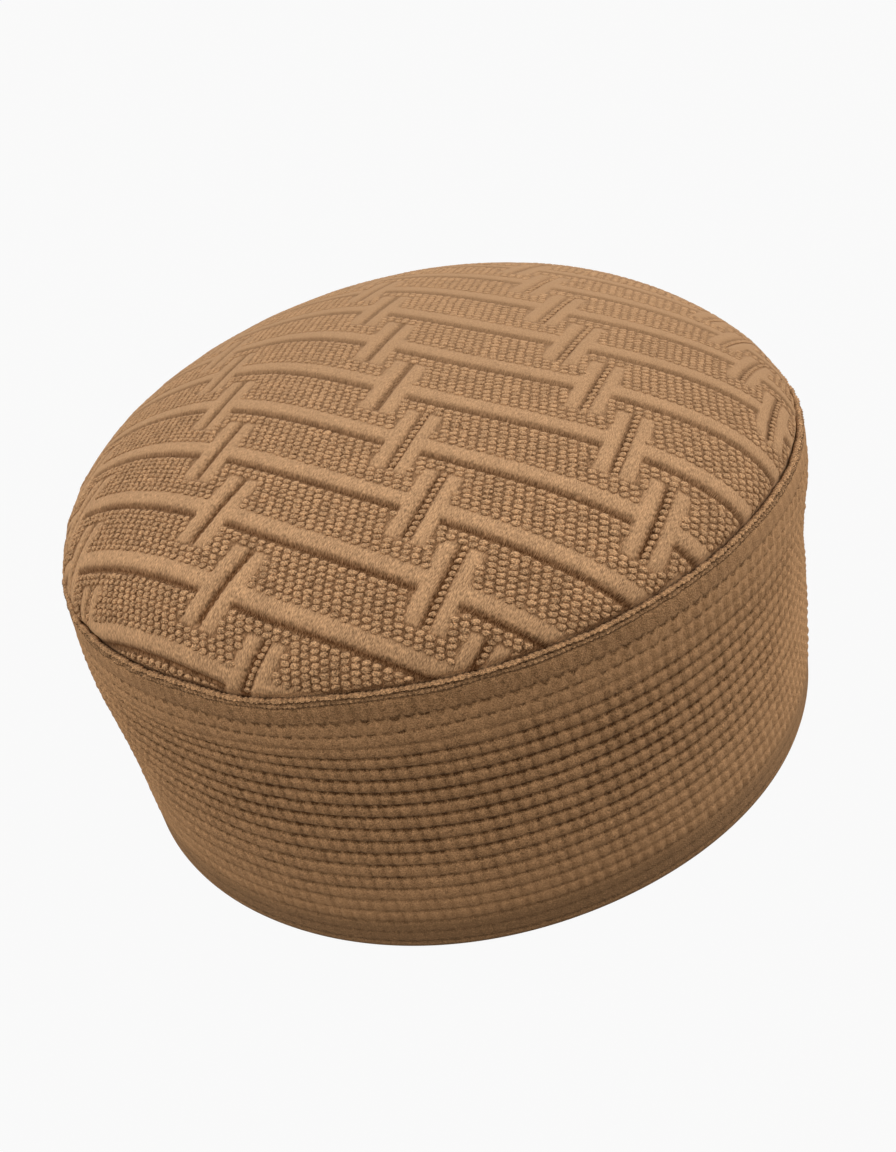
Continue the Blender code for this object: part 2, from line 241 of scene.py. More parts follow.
def band_rows():
    """Rows of points up the outside: radius, height, how deep in a groove, and rib number or -1."""
    rows = []
    for turn in EDGE_TURNS:
        lean = math.radians(turn)
        out = EDGE_ROUND * (1.0 - math.sin(lean))
        rows.append((BAND_RADIUS - out, EDGE_ROUND * (1.0 - math.cos(lean)), 0.0, -1))
    for height in (EDGE_ROUND, HEM_LINE - HEM_LINE_HALF):
        rows.append((BAND_RADIUS, height, 0.0, -1))
    rows.append((BAND_RADIUS - HEM_LINE_DEPTH, HEM_LINE, HEM_LINE_DARK, -1))
    for height in (HEM_LINE + HEM_LINE_HALF, *(share * HEM_HEIGHT for share in HEM_SHARES)):
        rows.append((BAND_RADIUS, height, 0.0, -1))
    for rib in range(RIBS):
        foot = groove_height(rib)
        top = groove_height(rib + 1)
        for phase in RIB_PHASES:
            hollow = abs(2.0 * phase - 1.0) ** RIB_SQUARE
            depth = groove_depth(rib if phase < 0.5 else rib + 1)
            height = foot + phase * (top - foot)
            rows.append((BAND_RADIUS - depth * hollow, height, hollow * depth / RIB_DEPTH, rib))
    strip_foot = groove_height(RIBS)
    rows.append((BAND_RADIUS - groove_depth(RIBS), strip_foot, TOP_GROOVE_SHARE, RIBS))
    for share in STRIP_SHARES:
        swell = STRIP_SWELL * math.sin(math.pi * share)
        rows.append((BAND_RADIUS + swell, strip_foot + share * (BAND_TOP - strip_foot), 0.0, -1))
    rows.append((BAND_RADIUS - TOP_TUCK, BAND_TOP, TOP_TUCK_DARK, -1))
    return rows


def inside_rows():
    """Rows of points down the plain inside, with the step where the turned hem ends."""
    wall = BAND_RADIUS - BAND_WALL
    rows = [(wall, share * BAND_TOP, 0.0, -1) for share in INSIDE_SHARES]
    rows.append((wall, HEM_HEIGHT + HEM_FOLD, 0.0, -1))
    rows.append((wall - HEM_FOLD, HEM_HEIGHT, 0.0, -1))
    rows.append((wall - HEM_FOLD, EDGE_ROUND, 0.0, -1))
    rows.append((wall + EDGE_ROUND * 0.5, 0.0, 0.0, -1))
    return rows


def settle(radius, angle, height):
    """Points round the cap's axis, swelled, dipped and leaned as the soft cap is, most on its wall."""
    points = np.stack([radius * np.cos(angle), radius * np.sin(angle), height], axis=1)
    turn = np.degrees(np.arctan2(points[:, 1], points[:, 0]))
    level = np.hypot(points[:, 0], points[:, 1])
    height = np.clip(points[:, 2], 0.0, SEAM_HEIGHT)
    share = np.minimum(level / BAND_RADIUS, 1.0) ** 3
    out = np.zeros_like(level)
    for middle, rise, reach_round, reach_up, far in BULGES:
        off = (turn - middle + 180.0) % 360.0 - 180.0
        out += far * np.exp(-(off / reach_round) ** 2 - ((height / MM - rise) / reach_up) ** 2)
    grown = 1.0 + out * share * MM / np.maximum(level, MM)
    off = (turn - DIP_WAY + 180.0) % 360.0 - 180.0
    dip = DIP_DEPTH * np.exp(-(off / DIP_REACH) ** 2) * share ** 2
    dip = dip * smooth_share(height, DIP_FROM, SEAM_HEIGHT)
    points[:, 0] = points[:, 0] * grown + SEAM_SHIFT * (2.0 * height / SEAM_HEIGHT - 1.0)
    points[:, 1] *= grown
    points[:, 2] -= dip
    return points


def rib_place(height):
    """A height told in ribs: 0 at the hem's top, 1 at the next groove, and so on."""
    numbers = np.arange(RIBS + 1)
    heights = [groove_height(number) for number in numbers]
    last = heights[-1] - heights[-2]
    numbers = [-HEM_HEIGHT / LOWEST_RIB, *numbers, RIBS + (BAND_TOP - heights[-1]) / last]
    return np.interp(height, [0.0, *heights, BAND_TOP], numbers)


def turned_from(angle, way):
    """How far round an angle lies from a way: 0 there, and 1 opposite."""
    return 0.5 - 0.5 * np.cos(angle - way)


def knit_shade_strength(angle, place):
    """How dark the painted shade in the knitting's grooves and notches is at each place of the wall."""
    swell = np.sin(math.pi * np.clip(place / RIBS, 0.0, 1.0) ** DEEPEST)
    strength = KNIT_SHADE_LEAST + (1.0 - KNIT_SHADE_LEAST) * swell
    strength = np.where(np.abs(place - RIBS + 2.0) < 0.5, 0.5 * strength, strength)
    strength = np.where(place > RIBS - 1.5, KNIT_SHADE_TOP, strength)
    return strength * (1.0 - SIDE_SOFT * smooth_share(turned_from(angle, SHADED_FRONT), *SOFT_SPAN))


def far_off(x, y):
    """How far a place lies towards the side that is smoother."""
    return FAR_WAY[0] * x + FAR_WAY[1] * y


def calmness(points):
    """How smooth the fuzz lies: most at the cap's back, and some at its hem."""
    at_back = CALM * smooth_share(far_off(points[:, 0], points[:, 1]), *CALM_SPAN)
    at_hem = HEM_CALM * (1.0 - smooth_share(points[:, 2], HEM_HEIGHT, HEM_CALM_END * HEM_HEIGHT))
    return 1.0 - (1.0 - at_back) * (1.0 - at_hem)


def stitch_spread(seed, rib, count):
    """One number for each stitch of a rib, from -1 to 1, given for each point."""
    table = np.random.default_rng(seed).uniform(-1.0, 1.0, (RIBS + 2, STITCHES_ROUND))
    return table[rib, np.floor(count).astype(int) % STITCHES_ROUND]


outer = band_rows()
rows = np.array(outer + inside_rows())
band_cloth, angle, row_of = sheet_round("band_cloth", STITCHES_ROUND * STEPS_A_STITCH, len(rows))
row_of %= len(rows)
is_outer = row_of < len(outer)
radius, height, hollow, rib = rows[row_of].T
rib = rib.astype(int)
on_rib = (rib >= 0) & is_outer
place = rib_place(height)
stitch_count = angle * STITCHES_ROUND / FULL_TURN + STITCH_LEAN * place
bulge = -np.cos(FULL_TURN * stitch_count)
crest = 1.0 - np.minimum(1.0, hollow / TOP_GROOVE_SHARE)
felting = 1.0 - FELTING * turned_from(angle, LEAST_FELTED)
uneven = 1.0 + SWELLING_SPREAD * stitch_spread(BAND_SEED, rib, stitch_count)
radius = radius + np.where(on_rib, SWELLING * felting * uneven * bulge * crest, 0.0)
strength = knit_shade_strength(angle, place) * np.where(on_rib, np.clip(uneven, *KNIT_SHADE_SPREAD), 1.0)
sway = np.sin(math.pi * np.clip(height / BAND_TOP, 0.0, 1.0))
climb = RIB_CLIMB * (0.5 + 0.5 * np.cos(angle - CLIMB_WAY)) ** CLIMB_POWER
climb = climb * smooth_share(height, *CLIMB_FROM) * (1.0 - smooth_share(height, *CLIMB_TO))
radius = radius + WALL_WANDER * waves(angle, BAND_SEED + 1, *WALL_WAVES) * sway
wander = waves(angle + RIB_WAVES_STEP * rib, BAND_SEED + 2, *RIB_WAVES)
height = height + (RIB_WANDER * wander * sway + climb) * is_outer
move_points(band_cloth, settle(radius, angle, height))
# how strong the painted shade in the grooves and notches is
paint(band_cloth, "hollow", strength)
# painted shade at the front and on the hem, and painted light at the sides
tone = BAND_FRONT_SHADE + (BAND_SIDE_LIGHT - BAND_FRONT_SHADE) * smooth_share(turned_from(angle, SHADED_FRONT), *BAND_SHADE_SPAN)
tone = tone + HEM_SHADE * (1.0 - smooth_share(height / HEM_HEIGHT, *HEM_SHADE_ENDS))
paint(band_cloth, "tint", tone)
paint(band_cloth, "calm", calmness(points_of(band_cloth)))
cloth_map(band_cloth, stitch_count, place)
close_up(band_cloth)


def add_node(tree, kind, inputs, **settings):
    """A new node with its settings, its inputs set to values or joined to other nodes' outputs."""
    made = tree.nodes.new(kind)
    for name, value in settings.items():
        setattr(made, name, value)
    for name, value in inputs.items():
        if isinstance(value, bpy.types.NodeSocket):
            tree.links.new(value, made.inputs[name])
        else:
            made.inputs[name].default_value = value
    return made


def calculate(tree, operation, first, second=0.0, third=0.0):
    """The output of a sum, product or other sum of the Math node."""
    inputs = {0: first, 1: second, 2: third}
    return add_node(tree, "ShaderNodeMath", inputs, operation=operation).outputs[0]


def soft_step(tree, value, start, end):
    """A mask that runs smoothly from 0 at start to 1 at end."""
    inputs = {"Value": value, "From Min": start, "From Max": end}
    return add_node(tree, "ShaderNodeMapRange", inputs, interpolation_type="SMOOTHSTEP").outputs["Result"]


def noise(tree, place, scale):
    """Soft spots of noise, from 0 to 1."""
    inputs = {"Vector": place, "Scale": scale, "Detail": 1.0}
    return add_node(tree, "ShaderNodeTexNoise", inputs).outputs["Fac"]


def new_group(name, outputs):
    """An empty node group with the place that it is given, and the node that holds its outputs."""
    group = bpy.data.node_groups.new(name, "ShaderNodeTree")
    group.interface.new_socket("Place", in_out="INPUT", socket_type="NodeSocketVector")
    for socket in outputs:
        group.interface.new_socket(socket, in_out="OUTPUT", socket_type="NodeSocketFloat")
    place = group.nodes.new("NodeGroupInput").outputs["Place"]
    return group, place, group.nodes.new("NodeGroupOutput")


TUFT_SCALE = 0.4  # size of the tufts against the fuzz: less is larger
TUFT_SHARE = 0.4  # their strength against the fuzz
PATCH_SCALE = 0.06
PATCH_SHARE = 0.16
FELT_MIDDLE = 0.78  # what the three come to on average


def felt_group():
    """Felted wool: how light each spot is, about 0, and how far its fuzz stands up."""
    group, place, result = new_group("felted wool", ["Shade", "Height"])
    tufts = noise(group, place, TUFT_SCALE)
    both = calculate(group, "MULTIPLY_ADD", tufts, TUFT_SHARE, noise(group, place, 1.0))
    shade = calculate(group, "MULTIPLY_ADD", noise(group, place, PATCH_SCALE), PATCH_SHARE, both)
    group.links.new(calculate(group, "SUBTRACT", shade, FELT_MIDDLE), result.inputs["Shade"])
    group.links.new(both, result.inputs["Height"])
    return group


FELT = felt_group()


def mix_colours(tree, share, first, second):
    """A colour between two others."""
    return add_node(tree, "ShaderNodeMix", {0: share, 6: first, 7: second}, data_type="RGBA").outputs[2]


SWING_LEAST = 0.5  # the darkest that the fuzz makes a spot
MATT = {
    "Roughness": 0.95,
    "Specular IOR Level": 0.1,
    "Sheen Weight": 0.06,
    "Sheen Roughness": 0.35,
    "Sheen Tint": (1.0, 0.80, 0.58, 1.0),
}


def wool(name, light, deep, place, fuzz_size, contrast, ragged=1.6, fuzz_height=0.25 * MM, knit_shade=None):
    """A wool material, darkened by painted shade in the number hollow and in the knit shade, and toned by
    tint, which holds painted shade and light as well as tone, and by calm.
    """
    material = bpy.data.materials.new(name)
    material.use_nodes = True
    tree = material.node_tree
    shader = tree.nodes["Principled BSDF"]
    if place == "cloth":
        coordinates = add_node(tree, "ShaderNodeUVMap", {}, uv_map="cloth").outputs["UV"]
    else:
        coordinates = tree.nodes.new("ShaderNodeTexCoord").outputs[place]
    scaled = add_node(tree, "ShaderNodeMapping", {"Vector": coordinates, "Scale": fuzz_size})
    felt = add_node(tree, "ShaderNodeGroup", {"Place": scaled.outputs["Vector"]}, node_tree=FELT)
    hollow = add_node(tree, "ShaderNodeAttribute", {}, attribute_name="hollow").outputs["Fac"]
    tatters = calculate(tree, "MULTIPLY_ADD", felt.outputs["Shade"], -ragged, 1.0)
    depth = calculate(tree, "MULTIPLY", hollow, tatters)
    height = felt.outputs["Height"]
    if knit_shade:
        cloth = add_node(tree, "ShaderNodeUVMap", {}, uv_map="cloth").outputs["UV"]
        knit_shaded = add_node(tree, "ShaderNodeGroup", {"Place": cloth}, node_tree=knit_shade)
        depth = calculate(tree, "MULTIPLY", depth, knit_shaded.outputs["Mark"])
        height = calculate(tree, "SUBTRACT", height, depth)
    ground = mix_colours(tree, calculate(tree, "MINIMUM", depth, 1.0), light, deep)
    calm = add_node(tree, "ShaderNodeAttribute", {}, attribute_name="calm").outputs["Fac"]
    shown = calculate(tree, "MULTIPLY_ADD", calm, -contrast, contrast)
    swing = calculate(tree, "MULTIPLY_ADD", felt.outputs["Shade"], shown, 1.0)
    tint = add_node(tree, "ShaderNodeAttribute", {}, attribute_name="tint").outputs["Fac"]
    swing = calculate(tree, "MAXIMUM", calculate(tree, "ADD", swing, tint), SWING_LEAST)
    toned = add_node(tree, "ShaderNodeVectorMath", {0: ground, "Scale": swing}, operation="SCALE")
    tree.links.new(toned.outputs["Vector"], shader.inputs["Base Color"])
    bump = add_node(tree, "ShaderNodeBump", {"Height": height, "Strength": 1.0, "Distance": fuzz_height})
    tree.links.new(bump.outputs["Normal"], shader.inputs["Normal"])
    for socket, value in MATT.items():
        shader.inputs[socket].default_value = value
    return material


FUZZ = (3800.0, 3800.0, 3800.0)  # tufts of felt in a metre, each way
DRIFT_SCALE = 4.5  # how soon and how far the painted shade wanders off its rows
DRIFT_ALONG = 0.22
DRIFT_UP = 0.2
GROOVE_HALF = 0.25  # half the width of the painted shade in a groove, in ribs
DASH_SPREAD = 0.35  # half the length of its dashes, in stitches
DASH_LEAST = 0.55  # how dark the groove is between them
DENT = 0.18  # painted shade in the dents between the stitches of a rib
DENT_FROM = 0.25  # where a dent starts, in stitches from its stitch's middle
LUMP_SHADE = 0.18  # painted shade: how dark the wool is round the middle of each stitch
SHORT_ENDS = (0.45, 0.25)  # the short dashes of the second row: ends, and half width
SHORT_HALF = 0.18
NOTCH_ENDS = (0.5, 0.25)  # the notches of the first row, which are curved
NOTCH_CURVE = 1.6
NOTCH_RAISE = 0.04
NOTCH_EDGE = (0.28, 0.02)
STRIP_SHADE = 0.34  # painted shade: how dark the strip under the lip is
STRIP_FROM = (RIBS + 0.05, RIBS + 0.5)


def hump(tree, off):
    """A mask that is 1 in the middle and falls to 0 half a stitch or half a rib away."""
    return calculate(tree, "MULTIPLY_ADD", calculate(tree, "MULTIPLY", off, off), -4.0, 1.0)


def choose(tree, chosen, first, second):
    """The first value, or the second where the mask is 1."""
    return calculate(tree, "MULTIPLY_ADD", chosen, calculate(tree, "SUBTRACT", second, first), first)


def knit_shade_group():
    """Painted shade in the knitting's grooves, dents and notches and on the strip under the lip, from
    stitches round and ribs up.
    """
    group, place, result = new_group("band knit shade", ["Mark"])
    sums = partial(calculate, group)
    step = partial(soft_step, group)
    drift = sums("SUBTRACT", noise(group, place, DRIFT_SCALE), 0.5)
    axes = add_node(group, "ShaderNodeSeparateXYZ", {0: place})
    count = sums("MULTIPLY_ADD", drift, DRIFT_ALONG, axes.outputs["X"])
    up = sums("MULTIPLY_ADD", drift, DRIFT_UP, axes.outputs["Y"])
    number = sums("ROUND", up)
    off = sums("ABSOLUTE", sums("SUBTRACT", up, number))
    cell = sums("ABSOLUTE", sums("SUBTRACT", sums("FRACT", count), 0.5))

    line = step(off, GROOVE_HALF, 0.0)
    between = step(cell, 0.0, DASH_SPREAD)
    dash = sums("MULTIPLY_ADD", between, 1.0 - DASH_LEAST, DASH_LEAST)
    groove = sums("MULTIPLY", line, dash)
    dent = sums("MULTIPLY", step(cell, DENT_FROM, 0.5), DENT)
    groove = sums("MAXIMUM", groove, dent)
    lump = sums("MULTIPLY", hump(group, cell), hump(group, off))
    groove = sums("MULTIPLY_ADD", sums("SUBTRACT", 1.0, lump), LUMP_SHADE, groove)

    ends = step(cell, *SHORT_ENDS)
    short = sums("MULTIPLY", ends, step(off, SHORT_HALF, 0.0))
    over = sums("SUBTRACT", up, RIBS)
    curved = sums("MULTIPLY_ADD", sums("MULTIPLY", cell, cell), -NOTCH_CURVE, over)
    curved = sums("ABSOLUTE", sums("ADD", curved, NOTCH_RAISE))
    ends = step(cell, *NOTCH_ENDS)
    notch = sums("MULTIPLY", ends, step(curved, *NOTCH_EDGE))
    wave = sums("COSINE", sums("MULTIPLY", count, FULL_TURN))
    strip = sums("MULTIPLY_ADD", wave, 0.5 * STRIP_SHADE, STRIP_SHADE)
    strip = sums("MULTIPLY", strip, step(up, *STRIP_FROM))
    notch = sums("MAXIMUM", notch, strip)

    is_high = sums("GREATER_THAN", number, RIBS - 1.5)
    is_highest = sums("GREATER_THAN", number, RIBS - 0.5)
    top = choose(group, is_highest, short, notch)
    group.links.new(choose(group, is_high, groove, top), result.inputs["Mark"])
    return group


band_cloth.data.materials.append(
    wool("band yarn", BAND_LIGHT, BAND_DEEP, "Object", FUZZ, BAND_CONTRAST, knit_shade=knit_shade_group())
)
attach(band_cloth, "root")
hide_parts("band")


# CROWN CLOTH. The top is one knitted disc, stretched over a form into a low dome whose foot is sewn in
# behind the lip. Smooth bars stand up from it: long rails, and pairs of short posts that cross them.
# The cloth between the bars is purl knitting, whose stitches are laid on it afterwards.
crown_low, crown_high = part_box("crown")
CROWN_RADIUS = 0.5 * (crown_high.y - crown_low.y)
CROWN_FOOT = crown_low.z
CROWN_WALL = 2.5 * MM
CROWN_RISE = 33.2 * MM
DOME_POWER = 2.07  # higher keeps the middle of the dome flatter
DOME_ROOT = 1.68  # higher makes its shoulder squarer
PATTERN_FOLLOW = (0.31, 0.8)  # 0: the pattern keeps its spacing seen from above, 1: along the slope
FOLLOW_MORE = 0.85  # share of the radius past which it follows the slope more
RAIL_ANGLE = math.radians(-37.9)
RAIL_SPACING = 14.45 * MM
RAIL_SHOWN = 4.2 * MM  # width of a rail at its foot
BAR_FAR_SHADE = -0.21  # painted shade: the bars are darker to the back and right, where the calm is high
RAIL_START = -5.85 * MM
PAIR_SPACING = 53.1 * MM  # from one pair of posts to the next along a rail
PAIR_STEP = -11.17 * MM  # how far the pairs move along from one rail to the next
PAIR_START = 2.95 * MM
POST_REACH = 8.8 * MM  # length of a post to each side of its rail
POST_END = 1.1 * MM  # slope at a post's end
PAIR_HALF = 4.4 * MM  # from the middle of a pair to its outer sides
GROOVE_OPEN = (0.75 * MM, 1.15 * MM)  # half the groove between the posts, closed and open
GROOVE_OPENS = (10.0 * MM, 30.0 * MM)  # along the pattern, where the grooves open
GROOVE_OPENS_FRONT = (80.0 * MM, 88.0 * MM)  # towards the front, where they open too
GROOVE_SOFT = 0.3 * MM  # how far the dark of a groove reaches up its sides
GROOVE_SUNK = 0.35 * MM
GROOVE_NUBS = (0.14 * MM, 1.4 * MM)  # how far its sides wander, and over what length
FRONT_SHADE = (0.7 * MM, 2.4 * MM, 2.7 * MM, 3.6 * MM)  # where the dark in front of a rail comes and goes
FRONT_DARK = 0.85
FRONT_CLEAR = 0.4 * MM  # how near to a post that dark may come
BAR_PROUD = 0.95 * MM
BAR_POWER = 4.0  # higher makes a bar's back flatter
BAR_ROOT = 1.0  # lower makes its sides steeper
BACK_SPAN = (-85.0 * MM, 45.0 * MM)  # front to back, where the relief grows fainter
BACK_FAINT = 0.58  # share of the relief lost at the back
GROUND_STEP = 0.50 * MM  # how far the ground climbs just in front of a rail
GROUND_RAMP = 0.20 * MM  # and from there to the back of the next rail
PIT_SHARE = 0.2  # share of the room between two rails that the pit takes
RIM_FADE = 0.9 * MM  # the relief runs out over this stretch at the seam
POST_SLANT = 0.3  # most that a post leans, sideways for each unit of its length
SLANT_SPAN = (0.49, 0.87)  # how far in front of the middle it grows, as shares of the radius
SLANT_SKEW = 0.3  # how much sooner it begins to the left
PULLS = (  # shares of the band's radius, and pulls as shares of the rail spacing
    # along, across, pull along, pull across
    (-0.65, -0.81, -0.16, 0.23),
    (-0.65, -0.43, 0.15, 0.16),
    (-0.65, -0.05, 0.13, -0.20),
    (-0.65, 0.32, 0.03, -0.08),
    (-0.22, -1.08, -0.27, 0.20),
    (-0.22, -0.81, -0.07, 0.01),
    (-0.22, -0.43, -0.03, 0.05),
    (-0.22, -0.05, -0.12, 0.35),
    (-0.22, 0.32, -0.14, 0.30),
    (0.22, -1.08, -0.19, -0.12),
    (0.22, -0.81, 0.05, -0.06),
    (0.22, -0.43, 0.09, -0.10),
    (0.22, -0.05, 0.03, -0.21),
    (0.22, 0.32, 0.02, -0.05),
    (0.65, -0.43, 0.12, -0.05),
    (0.65, -0.05, -0.02, 0.09),
    (0.65, 0.32, 0.01, 0.09),
    (1.20, -0.30, 0.28, 0.41),
    (1.20, 0.20, -0.94, 0.44),
)
PULL_REACH = 0.43  # how far a pull is felt, as a share of the radius
CELLS_A_RAIL = 24  # rows of faces from one rail to the next
CELL_ALONG = 0.60 * MM  # length of a face along the rails
CLOTH_RAILS = 16  # rails that the square cloth holds before it is cut round
CUT_SPARE = 1.2 * MM  # cloth left past the seam
DOME_SAMPLES = 600
INNER_RINGS = (0.97, 0.90, 0.78, 0.60, 0.35)  # rings of the dome's inside, shares of its radius
CROWN_LIGHT = (0.440, 0.265, 0.143, 1.0)
CROWN_DEEP = (0.115, 0.05, 0.019, 1.0)
CROWN_CONTRAST = 2.1
CROWN_RAGGED = 1.0  # how much the fuzz breaks up the dark
BAR_FIBRES = (5.0, 1.4, 1.0)  # fibres in a millimetre along the rails and across them
GROUND_SHADE = 0.65  # how dark the ground under the stitches is, from 0 to 1


def dome_height(share, rise):
    """Height of a dome over its foot, at a share of its radius."""
    return rise * (1.0 - share ** DOME_POWER) ** (1.0 / DOME_ROOT)


def dome_table():
    """From the dome's top to its foot: radius, height, way out of its face, and radius laid flat."""
    steps = np.linspace(0.0, 1.0, DOME_SAMPLES)
    shares = 1.0 - (1.0 - steps) ** 2
    radii = shares * CROWN_RADIUS
    heights = dome_height(shares, CROWN_RISE)
    runs = np.hypot(np.diff(radii), np.diff(heights))
    least, most = PATTERN_FOLLOW
    follow = least + (most - least) * smooth_share(shares[1:], FOLLOW_MORE, 1.0)
    flat = np.concatenate(([0.0], np.cumsum((1.0 - follow) * np.diff(radii) + follow * runs)))
    across = np.gradient(radii)
    fall = -np.gradient(heights)
    size = np.hypot(across, fall)
    return {"radius": radii, "height": heights, "out": fall / size, "up": across / size, "flat": flat}


DOME = dome_table()
DISC_RADIUS = DOME["flat"][-1]


def pulled(along, across):
    """Where the stretched cloth's pulls take a place of the square pattern."""
    moved_along = along.copy()
    moved_across = across.copy()
    reach = PULL_REACH * BAND_RADIUS
    for place_along, place_across, pull_along, pull_across in PULLS:
        off_along = (along - place_along * BAND_RADIUS) / reach
        off_across = (across - place_across * BAND_RADIUS) / reach
        share = np.exp(-off_along ** 2 - off_across ** 2) * RAIL_SPACING
        moved_along += pull_along * share
        moved_across += pull_across * share
    return moved_along, moved_across


def lay_on_dome(along, across, lift):
    """Places on the dome of points of the square pattern, lifted off its face."""
    moved_along, moved_across = pulled(along, across)
    flat = np.hypot(moved_along, moved_across)
    turn = np.arctan2(moved_across, moved_along) + RAIL_ANGLE
    read = partial(np.interp, flat, DOME["flat"])
    shown = lift * np.clip((DISC_RADIUS - flat) / RIM_FADE, 0.0, 1.0)
    level = read(DOME["radius"]) + read(DOME["out"]) * shown
    height = read(DOME["height"]) - np.maximum(flat - DISC_RADIUS, 0.0)
    return settle(level, turn, SEAM_HEIGHT + height + read(DOME["up"]) * shown)


def faintness(along, across):
    """How much fainter the relief is than at the front, from 0 to BACK_FAINT."""
    x = along * math.cos(RAIL_ANGLE) - across * math.sin(RAIL_ANGLE)
    y = along * math.sin(RAIL_ANGLE) + across * math.cos(RAIL_ANGLE)
    return BACK_FAINT * smooth_share(far_off(x, y), *BACK_SPAN)


def round_bar(distance, half):
    """Height of a bar across its width, from 1 on its middle to 0 at its foot."""
    share = np.clip(np.abs(distance) / half, 0.0, 1.0)
    return (1.0 - share ** BAR_POWER) ** BAR_ROOT


def post_slant(along, across):
    """How much the posts lean at a place, sideways for each unit of their length."""
    forward = (-across - SLANT_SKEW * along) / BAND_RADIUS
    return POST_SLANT * smooth_share(forward, *SLANT_SPAN)


def pair_place(along, across, row):
    """A place measured from a rail's nearest pair of posts: sideways, across, and the pair's own place."""
    rail = RAIL_START + row * RAIL_SPACING
    offset = across - rail
    first = PAIR_START + row * PAIR_STEP
    middle = first + np.round((along - first) / PAIR_SPACING) * PAIR_SPACING
    side = along - middle - post_slant(middle, rail) * offset
    return side, offset, middle


def groove_opened(middle, rail):
    """How far the groove of a pair of posts stands open, from 0 to 1."""
    return np.maximum(smooth_share(middle, *GROOVE_OPENS), smooth_share(-rail, *GROOVE_OPENS_FRONT))


def groove_half(middle, rail, offset):
    """Half the width of the groove between the posts of a pair, with the nubs of its sides."""
    nubs = GROOVE_NUBS[0] * np.sin(FULL_TURN * offset / GROOVE_NUBS[1] + middle / MM)
    return GROOVE_OPEN[0] + (GROOVE_OPEN[1] - GROOVE_OPEN[0]) * groove_opened(middle, rail) + nubs


def ground_height(across):
    """Height of the ground: a pit in front of each rail, then a climb to the back of the next."""
    room = RAIL_SPACING - RAIL_SHOWN
    behind = (-(across - RAIL_START) - 0.5 * RAIL_SHOWN) % RAIL_SPACING
    share = np.clip(behind / room, 0.0, 1.0)
    return GROUND_STEP * smooth_share(share, 0.0, PIT_SHARE) + GROUND_RAMP * share


def relief(along, across):
    """Height of the cloth at each place, and how dark it lies there, from 0 to 1."""
    nearest = np.round((across - RAIL_START) / RAIL_SPACING)
    bar = np.zeros_like(along)
    groove = np.zeros_like(along)
    shade = np.zeros_like(along)
    rises, full, falls, gone = FRONT_SHADE
    for step in (-1, 0, 1):
        side, offset, middle = pair_place(along, across, nearest + step)
        inner = groove_half(middle, RAIL_START + (nearest + step) * RAIL_SPACING, offset)
        half = 0.5 * (PAIR_HALF - inner)
        between = (np.abs(side) < inner + half) & (np.abs(offset) < POST_REACH)
        rail = np.where(between, 0.0, round_bar(offset, 0.5 * RAIL_SHOWN))
        end = np.clip((POST_REACH - np.abs(offset)) / POST_END, 0.0, 1.0) ** 0.5
        post = round_bar(np.abs(side) - inner - half, half) * end
        bar = np.maximum(bar, np.maximum(rail, post))
        inside = smooth_share(np.abs(side), inner + GROOVE_SOFT, 0.5 * inner) * end
        groove = np.maximum(groove, inside)
        front = smooth_share(-offset, rises, full) * (1.0 - smooth_share(-offset, falls, gone))
        beside = smooth_share(np.abs(side), PAIR_HALF - FRONT_CLEAR, PAIR_HALF)
        shade = np.maximum(shade, FRONT_DARK * front * beside)
    ground = ground_height(across) * (1.0 - groove) - GROOVE_SUNK * groove
    lift = np.maximum(BAR_PROUD * bar, ground)
    pit = 1.0 - ground_height(across) / (GROUND_STEP + GROUND_RAMP)
    free = np.clip(1.0 - 2.0 * bar, 0.0, 1.0)
    dark = np.maximum(free * (GROUND_SHADE + (1.0 - GROUND_SHADE) * np.clip(pit, 0.0, 1.0) ** 2), groove)
    shown = 1.0 - faintness(along, across)
    return lift * shown, np.maximum(dark, shade) * shown


def cut_away(piece, chosen):
    """Delete the chosen points of a piece, with the faces on them."""
    only(piece)
    start_edit()
    bpy.ops.mesh.select_mode(type="VERT")
    bpy.ops.mesh.select_all(action="DESELECT")
    end_edit()
    piece.data.vertices.foreach_set("select", chosen)
    start_edit()
    bpy.ops.mesh.delete(type="VERT")
    end_edit()


def flat_places(piece):
    """Places in the pattern of the points of a cloth that still lies flat."""
    points = points_of(piece)
    return points[:, 0], points[:, 1] + RAIL_START


cells_across = CLOTH_RAILS * CELLS_A_RAIL
half_across = 0.5 * CLOTH_RAILS * RAIL_SPACING
cells_along = round(2.0 * half_across / CELL_ALONG)
deselect()
bpy.ops.mesh.primitive_grid_add(
    x_subdivisions=cells_along, y_subdivisions=cells_across, size=2.0 * half_across
)
crown_cloth = bpy.context.object
crown_cloth.name = "crown_cloth"
cut_away(crown_cloth, np.hypot(*pulled(*flat_places(crown_cloth))) > DISC_RADIUS + CUT_SPARE)
along, across = flat_places(crown_cloth)
lift, dark = relief(along, across)
move_points(crown_cloth, lay_on_dome(along, across, lift))
outer_count = len(along)


def set_ring(piece, radius, height):
    """Extrude the selected ring of edges to a new radius and height."""
    bpy.ops.mesh.extrude_region()
    end_edit()
    points = points_of(piece)
    picked = np.empty(len(points), dtype=bool)
    piece.data.vertices.foreach_get("select", picked)
    turn = np.arctan2(points[picked, 1], points[picked, 0] - SEAM_SHIFT)
    points[picked] = settle(radius, turn, np.full(turn.shape, height))
    move_points(piece, points)
    start_edit()


